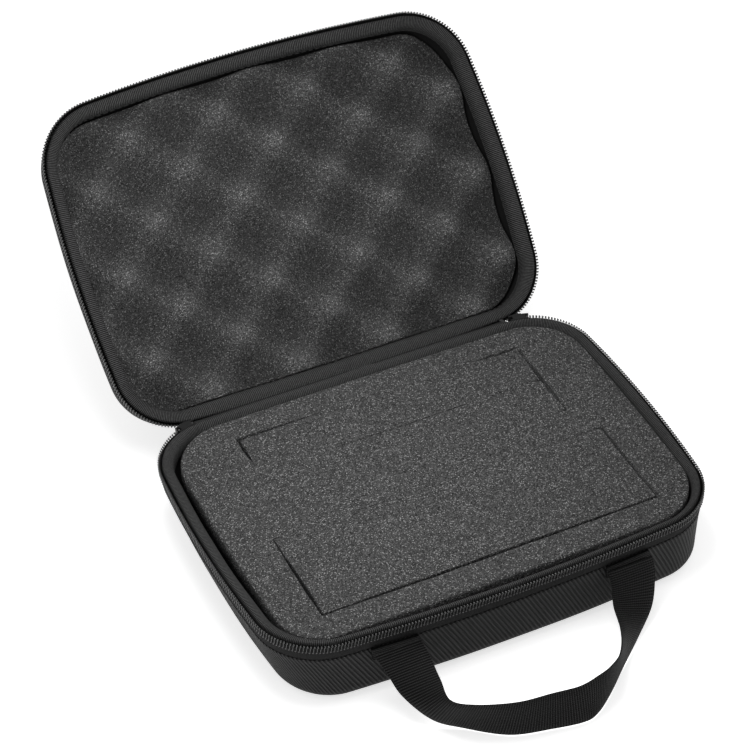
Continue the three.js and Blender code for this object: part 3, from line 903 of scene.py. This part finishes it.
def gape(loop, closed, opened):
    """The loop moved outwards, less where the cut is closed and more where it gapes."""
    share = openness(loop)[:, None]
    return loop + outward(loop) * (closed + (opened - closed) * share)


def lower(drop, spread=0.0):
    """A ring drop below the one above it, moved outwards by spread."""
    def ring(points):
        flat = points[:, :2] + outward(points[:, :2]) * spread
        return np.column_stack([flat, points[:, 2] - drop])
    return ring


def down_to(height, spread=0.0):
    """A ring at a height, moved outwards by spread."""
    def ring(points):
        flat = points[:, :2] + outward(points[:, :2]) * spread
        return np.column_stack([flat, np.full(len(points), height)])
    return ring


def soft_top(points):
    """The sawn face of the foam, slightly uneven."""
    x, y = points[:, 0], points[:, 1]
    return FOAM_TOP - 0.12 + 0.1 * np.sin(x / 13 + 0.5) * np.cos(y / 11) - 0.25 * openness(points)


def foam_block(name, block):
    form = Form()
    top = gape(rectangle(block, -0.2), 0.13, -1.0)
    rings = [lower(0.3, 0.2), lower(0.6, 0.12), down_to(POCKET_FLOOR, 0.0)]
    plate(form, [top], [rings], 6.0, soft_top, stay)
    return show(name, form, FOAM_SKIN, 60)


def foam_surround(name):
    form = Form()
    stations = FOAM.stations(3.0)
    rim = FOAM.points(stations, -1.4, 0)[:, :2]
    joined = (BACK_BLOCK[0], BACK_BLOCK[1], MIDDLE_BLOCK[2], BACK_BLOCK[3])
    holes = [gape(rectangle(block, 0.2), -0.13, 0.9)[::-1] for block in (joined, FRONT_BLOCK)]
    outer = [lower(0.3, 0.8), lower(0.7, 0.45), lower(5.5, 0.1), lower(7, -0.9)]
    outer.append(lambda points: leaning(down_to(POCKET_FLOOR, -3.4)(points)))
    inner = [lower(0.25, 0.12), lower(0.5, 0.08), down_to(POCKET_FLOOR)]
    plate(form, [rim, *holes], [outer, inner, inner], 6.0, soft_top, stay)
    return show(name, form, FOAM_SKIN, 60)


def foam_pad(name):
    form = Form()
    rim = FOAM.points(FOAM.stations(4.0), -5.4, 0)[:, :2]
    rings = [lower(0.4, 0.3), down_to(PAD_UNDER, -2.6)]
    plate(form, [rim], [rings], 12.0, lambda p: np.full(len(p), PAD_TOP), leaning)
    return show(name, form, FOAM_SKIN, 60)


def crate_surface(points):
    """Egg-crate foam: rows of rounded peaks, each row shifted by half a pitch from the next."""
    x = (points[:, 0] - CRATE_PEAK[0]) * 2 * math.pi / CRATE_PITCH_X
    y = (points[:, 1] - CRATE_PEAK[1]) * math.pi / CRATE_ROW_STEP
    share = (0.5 + 0.5 * np.cos(x) * np.cos(y)) ** 1.7
    drift = 0.5 * np.sin(points[:, 0] / 31) * np.sin(points[:, 1] / 23 + 0.7)
    return -CRATE_VALLEY_DEPTH + (CRATE_VALLEY_DEPTH - CRATE_PEAK_DEPTH) * share + drift


def egg_crate(name):
    form = Form()
    rim = RIM.points(RIM.stations(1.8), CRATE_OFFSET - 0.7, 0)[:, :2]
    rings = [lower(0.5, 0.6), down_to(-CRATE_VALLEY_DEPTH - 1.5, 0.1)]
    rings.append(down_to(-CRATE_UNDERSIDE, -2.9))
    plate(form, [rim], [rings], 1.9, crate_surface, to_lid)
    piece = show(name, form, CRATE_SKIN, 70)
    # painted shade: how deep each point lies between the peaks, stored on the mesh so the foam's
    # colour darkens in the hollows
    mesh = piece.data
    points = np.empty(len(mesh.vertices) * 3)
    mesh.vertices.foreach_get("co", points)
    _, y, z = points.reshape(-1, 3).T / MM
    over = (y - HINGE_Y) * math.sin(LID_OPEN) + (z - HINGE_Z) * math.cos(LID_OPEN)
    depth = over - (BASE_DEPTH - HINGE_Z)
    hollow_shade = np.clip((depth - CRATE_PEAK_DEPTH) / (CRATE_VALLEY_DEPTH - CRATE_PEAK_DEPTH), 0, 1)
    layer = mesh.attributes.new("hollow_shade", "FLOAT", "POINT")
    layer.data.foreach_set("value", hollow_shade)
    return piece


for name, block in (("back", BACK_BLOCK), ("middle", MIDDLE_BLOCK), ("front", FRONT_BLOCK)):
    piece = foam_block(f"cut_block_{name}", block)
    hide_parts(f"foam_block_{name}")
    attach(piece, f"foam_block_{name}")
for make, name, node, slot, body in (
    (foam_surround, "foam_tray", "base_foam_surround", "foam", "case_base"),
    (foam_pad, "foam_floor_pad", "base_foam_pad", "foam", "case_base"),
    (egg_crate, "egg_crate_pad", "lid_egg_crate_foam", "crate", "lid"),
):
    piece = make(name)
    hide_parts(node)
    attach(piece, body)


# ------------------------------------------------------------------ handle

# The webbing's two edges, from the left leg round to the right one
HANDLE_EDGES = [
    ((-54, -97.6, 32.6), (-80, -97.6, 32.6)),
    ((-53.5, -107.5, 29), (-77, -105.5, 26)),
    ((-55, -122, 26.6), (-73, -115, 16.5)),
    ((-56.5, -136, 25.8), (-62, -126, 5)),
    ((-46, -144.5, 25.6), (-49, -135, 1.2)),
    ((-27, -152, 25.8), (-30, -149.5, 1)),
    ((-9, -154.5, 26), (-9, -155.5, 1)),
    ((6, -156, 25.6), (8, -158.6, 1)),
    ((18, -153.6, 25.4), (17, -156.2, 1)),
    ((27, -150.5, 25.4), (29, -147.5, 1)),
    ((36, -144, 25.4), (42, -135.8, 1)),
    ((45.5, -127, 21), (60, -121, 3)),
    ((51, -110, 19.5), (74.5, -109.5, 9.5)),
    ((54, -101.8, 25.5), (80, -101.4, 24)),
    ((54, -97.6, 32.6), (80, -97.6, 32.6)),
]


def through(points, share):
    """A smooth curve through points (Catmull-Rom), at shares from 0 to 1 of its stations."""
    points = np.array(points, float)
    ends = [2 * points[0] - points[1], *points, 2 * points[-1] - points[-2]]
    p = np.array(ends)
    t = share * (len(points) - 1)
    i = np.clip(t.astype(int), 0, len(points) - 2)
    t = (t - i)[:, None]
    a, b, c, d = p[i], p[i + 1], p[i + 2], p[i + 3]
    squared = (2 * a - 5 * b + 4 * c - d) * t ** 2
    cubed = (3 * b - a - 3 * c + d) * t ** 3
    return 0.5 * (2 * b + (c - a) * t + squared + cubed)


def webbing_strap(name):
    form = Form()
    coarse = np.linspace(0, 1, 400)
    inner, outer = (through([ends[k] for ends in HANDLE_EDGES], coarse) for k in (0, 1))
    middle = (inner + outer) / 2
    run = np.concatenate([[0], np.cumsum(np.linalg.norm(np.diff(middle, axis=0), axis=1))])
    count = int(run[-1] / (RIB_PITCH / 4))
    even = np.linspace(0, run[-1], count)
    share = np.interp(even, run, coarse)
    inner, outer = (through([ends[k] for ends in HANDLE_EDGES], share) for k in (0, 1))
    across = inner - outer
    tangent = np.gradient((inner + outer) / 2, axis=0)
    normal = np.cross(tangent, across)
    normal /= np.linalg.norm(normal, axis=1)[:, None]
    width = np.linalg.norm(across, axis=1)
    columns = 13
    v = np.linspace(0, 1, columns)
    half = WEBBING_THICKNESS / 2 * np.clip(1 - np.abs(2 * v - 1) ** 9, 0.35, 1)
    flat = np.clip(1 - np.abs(2 * v - 1) ** 6, 0, 1)
    rib = RIB_HEIGHT * np.cos(2 * math.pi * even / RIB_PITCH)[:, None] * flat[None]
    sheet = outer[:, None] + across[:, None] * v[None, :, None]
    lift = normal[:, None] * (half[None] + rib)[..., None]
    front, rear = sheet + lift, sheet - lift
    grid = np.concatenate([front, rear[:, ::-1]], axis=1)
    across_mm = v * width.mean()
    run_v = np.concatenate([across_mm, across_mm[-1] + 1 + across_mm, [2 * across_mm[-1] + 2]])
    form.cap(form.grid(grid, even, run_v, wrap_v=True))
    return show(name, form, WEBBING, 60)


strap = webbing_strap("webbing_strap")
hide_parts("handle_webbing")
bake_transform(strap)


def webbing_end(name, middle):
    """The end of the webbing sewn flat to the wall, with its ribs level."""
    form = Form()
    depth = np.linspace(*LEG_END_DEPTHS, 14)
    across = middle + np.linspace(-WEBBING_WIDTH / 2, WEBBING_WIDTH / 2, 14)
    rib = RIB_HEIGHT * np.cos(2 * math.pi * depth / RIB_PITCH)
    loops = []
    for lift, x in ((1.5 + rib, across), (0.15 + 0 * rib, across[::-1])):
        offset = (wall_offset(depth) + lift)[:, None]
        front = -FRONT_REACH + x[None] ** 2 / (2 * FRONT_ARC) - offset
        height = (BASE_DEPTH - depth)[:, None] + 0 * front
        loops.append(np.stack([x[None] + 0 * front, front, height], -1))
    grid = leaning(np.concatenate(loops, axis=1))
    run = across - across[0]
    around = np.concatenate([run, run + WEBBING_WIDTH + 1, [2 * WEBBING_WIDTH + 2]])
    form.cap(form.grid(grid, depth, around, wrap_v=True))
    return show(name, form, WEBBING, 60)


for side, middle in (("left", -LEG_MIDDLE_X), ("right", LEG_MIDDLE_X)):
    end = webbing_end(f"webbing_end_{side}", middle)
    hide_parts(f"handle_end_{side}")
    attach(end, "case_base")


# ------------------------------------------------------------------ hinge cloth and zip ends

def folded_cloth(name, half_length, material, inset, low, high, middle=0.0):
    """A cloth that comes up the base's back from low under the hinge, folds at the hinge line and
    goes down the lid as far as high. Away from the fold it lies inset in front of the hinge."""
    form = Form()
    thickness = 0.6
    cos, sin = math.cos(LID_OPEN), math.sin(LID_OPEN)
    hinge = np.array([HINGE_Y, HINGE_Z])
    up = [(-inset - 1, -low), (-inset, -6), (-1.2, -1.8)]
    fold = [(0, 0.9)]
    closed = ((-1.2, 1.8), (-inset, 6), (-inset - 1, high))
    down = [(y * cos + z * sin, z * cos - y * sin) for y, z in closed]
    line = softened(hinge + np.array(up + fold + down), 3, closed=False)
    normal = outward(line)
    normal[0], normal[-1] = normal[1], normal[-2]
    profile = np.vstack([line + normal * thickness / 2, (line - normal * thickness / 2)[::-1]])
    xs = np.linspace(-half_length, half_length, max(4, int(half_length))) + middle
    grid = np.empty((len(xs), len(profile), 3))
    grid[..., 0] = xs[:, None]
    grid[..., 1:] = profile[None]
    ring = np.vstack([profile, profile[:1]])
    form.cap(form.grid(grid, xs, lengths_along(ring), wrap_v=True), profile)
    piece = show(name, form, material, 60)
    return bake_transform(piece)


cloth = folded_cloth("hinge_cloth", HINGE_HALF_LENGTH, BINDING, 2.0, 12.2, 16)
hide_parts("hinge_cloth_base", "hinge_cloth_lid")
for side, x, material in (("left", -ZIP_END_X, TAPE), ("right", ZIP_END_X, PALE_TAPE)):
    tab = folded_cloth(f"zip_end_cloth_{side}", 1.0, material, 2.9, 7, 7, x)
    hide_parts(f"zip_end_tab_{side}")

for side in ("left", "right"):
    for node in (f"zip_slider_{side}", f"zip_pull_{side}"):
        frame["nodes"][node].data.materials.clear()
        frame["nodes"][node].data.materials.append(ENAMEL)


# ------------------------------------------------------------------ floor, light and camera

def floor():
    n = Nodes("pale_floor")
    mesh = bpy.data.meshes.new("floor")
    reach = 6.0
    corners = [(-reach, -reach, 0), (reach, -reach, 0), (reach, reach, 0), (-reach, reach, 0)]
    mesh.from_pydata(corners, [], [(0, 1, 2, 3)])
    mesh.materials.append(n.finish(grey(0.9), n.noise(40, 2), 0.01, 0.9, 0.1))
    n.put(n.shader.inputs["Emission Color"], grey(1.0))
    n.put(n.shader.inputs["Emission Strength"], 0.64)
    piece = bpy.data.objects.new("floor", mesh)
    bpy.context.scene.collection.objects.link(piece)


def softbox(name, place, target, size, power):
    lamp = bpy.data.lights.new(name, "AREA")
    lamp.shape = "DISK"
    lamp.size = size
    lamp.energy = power
    piece = bpy.data.objects.new(name, lamp)
    piece.location = place
    piece.rotation_euler = (Vector(target) - Vector(place)).to_track_quat("-Z", "Y").to_euler()
    bpy.context.scene.collection.objects.link(piece)


def camera():
    azimuth, elevation, roll = (math.radians(a) for a in (-25.3, 41.21, -0.84))
    target = Vector((0.00751, 0.08178, BASE_DEPTH * MM))
    distance = 1.64588
    level = math.cos(elevation)
    back = Vector((math.sin(azimuth) * level, -math.cos(azimuth) * level, math.sin(elevation)))
    data = bpy.data.cameras.new("camera")
    data.sensor_width = 36
    data.lens = 144
    data.clip_start, data.clip_end = 0.05, 50
    piece = bpy.data.objects.new("camera", data)
    turn = (-back).to_track_quat("-Z", "Y").to_matrix().to_4x4() @ Matrix.Rotation(roll, 4, "Z")
    piece.matrix_world = Matrix.Translation(target + back * distance) @ turn
    bpy.context.scene.collection.objects.link(piece)
    bpy.context.scene.camera = piece


floor()
camera()
softbox("key_light", (-0.045, 0.0, 0.32), (-0.045, 0.01, 0.0), size=0.28, power=1.25)
world = bpy.data.worlds.new("studio")
world.use_nodes = True
world.node_tree.nodes["Background"].inputs["Color"].default_value = grey(1.0)
world.node_tree.nodes["Background"].inputs["Strength"].default_value = 0.5
bpy.context.scene.world = world
bpy.context.scene.view_settings.view_transform = "Standard"
